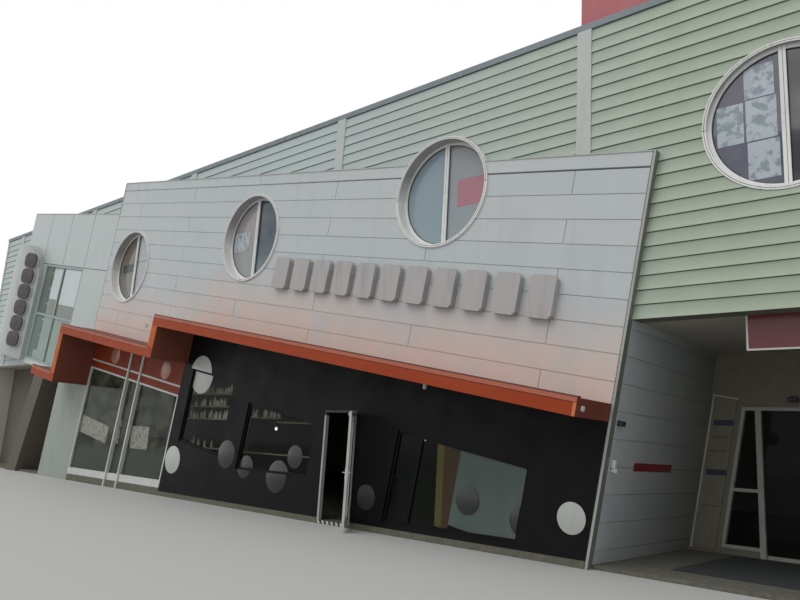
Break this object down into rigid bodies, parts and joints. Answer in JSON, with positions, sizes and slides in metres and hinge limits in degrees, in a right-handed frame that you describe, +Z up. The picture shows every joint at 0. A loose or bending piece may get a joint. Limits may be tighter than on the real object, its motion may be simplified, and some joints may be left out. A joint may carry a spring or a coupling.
{
  "type": "supermarket building",
  "caption": "Two-storey supermarket with a leaning white front, a stepped orange canopy, round upper windows, a black cafe front with a hinged glass door and a deep entrance recess.",
  "frame": {"origin": "on the ground under the middle of the street front's wall plane", "axes": "+X along the street front to the right, +Y into the building, +Z up"},
  "size_m": [37.68, 19.22, 10.08],
  "materials": {
    "concrete": "matt cast concrete",
    "plain_render": "matt smooth render",
    "roof_felt": "matt roof felt",
    "sage_siding": "satin paint on lap boards",
    "white_panel": "satin coated panels",
    "light_trim": "satin coated strips",
    "coping_metal": "satin coated sheet",
    "orange_paint": "satin paint",
    "white_frame": "satin coated bars",
    "brown_render": "matt render",
    "bay_panel": "satin coated panels",
    "red_sign": "glossy sign face",
    "black_front": "satin dark boards",
    "door_metal": "satin coated aluminium",
    "steel": "brushed",
    "sign_grey": "matt paint",
    "glass": "tinted float glass"
  },
  "bodies": {
    "building": {"floor_slab": "concrete", "plinth": "concrete", "upper_floor": "plain_render", "roof_slab": "roof_felt", "front_wall_upper": "sage_siding", "rear_wall": "sage_siding", "left_wall": "sage_siding", "right_wall": "sage_siding", "front_wall_left": "plain_render", "front_wall_right": "white_panel", "lintel_wall": "plain_render", "recess_side_wall": "white_panel", "recess_end_wall": "white_panel", "recess_back_wall": "plain_render", "coping": "coping_metal", "pilasters": "light_trim", "white_cladding": "white_panel", "corner_trim": "light_trim", "canopy_long": "orange_paint", "canopy_step": "orange_paint", "canopy_short": "orange_paint", "canopy_leg": "orange_paint", "canopy_low": "orange_paint", "sign_band": "orange_paint", "shop_window_frame": "white_frame", "white_pier": "white_panel", "leaning_leg": "brown_render", "bay_panels": "bay_panel", "bay_window_frame": "light_trim", "curved_sign_board": "white_panel", "sign_boxes": "red_sign", "info_board": "white_frame", "entrance_frame": "white_frame", "cafe_front_left": "black_front", "cafe_front_right": "black_front", "cafe_door_head": "black_front", "cafe_window_frames": "black_front", "cafe_door_frame": "door_metal", "porthole_frames": "white_frame", "upper_glass": "glass", "ground_glass": "glass", "sign_plates": "sign_grey"},
    "cafe_door": {"cafe_door_leaf": "door_metal", "cafe_door_glass": "glass", "cafe_door_fittings": "steel"}
  },
  "joints": [
    {"name": "cafe_door_hinge", "type": "hinge", "parent": "building", "child": "cafe_door", "pos_m": [1.879, -0.13, 1.1], "axis": [0, 0, 1], "range_deg": [-132, 8]}
  ]
}
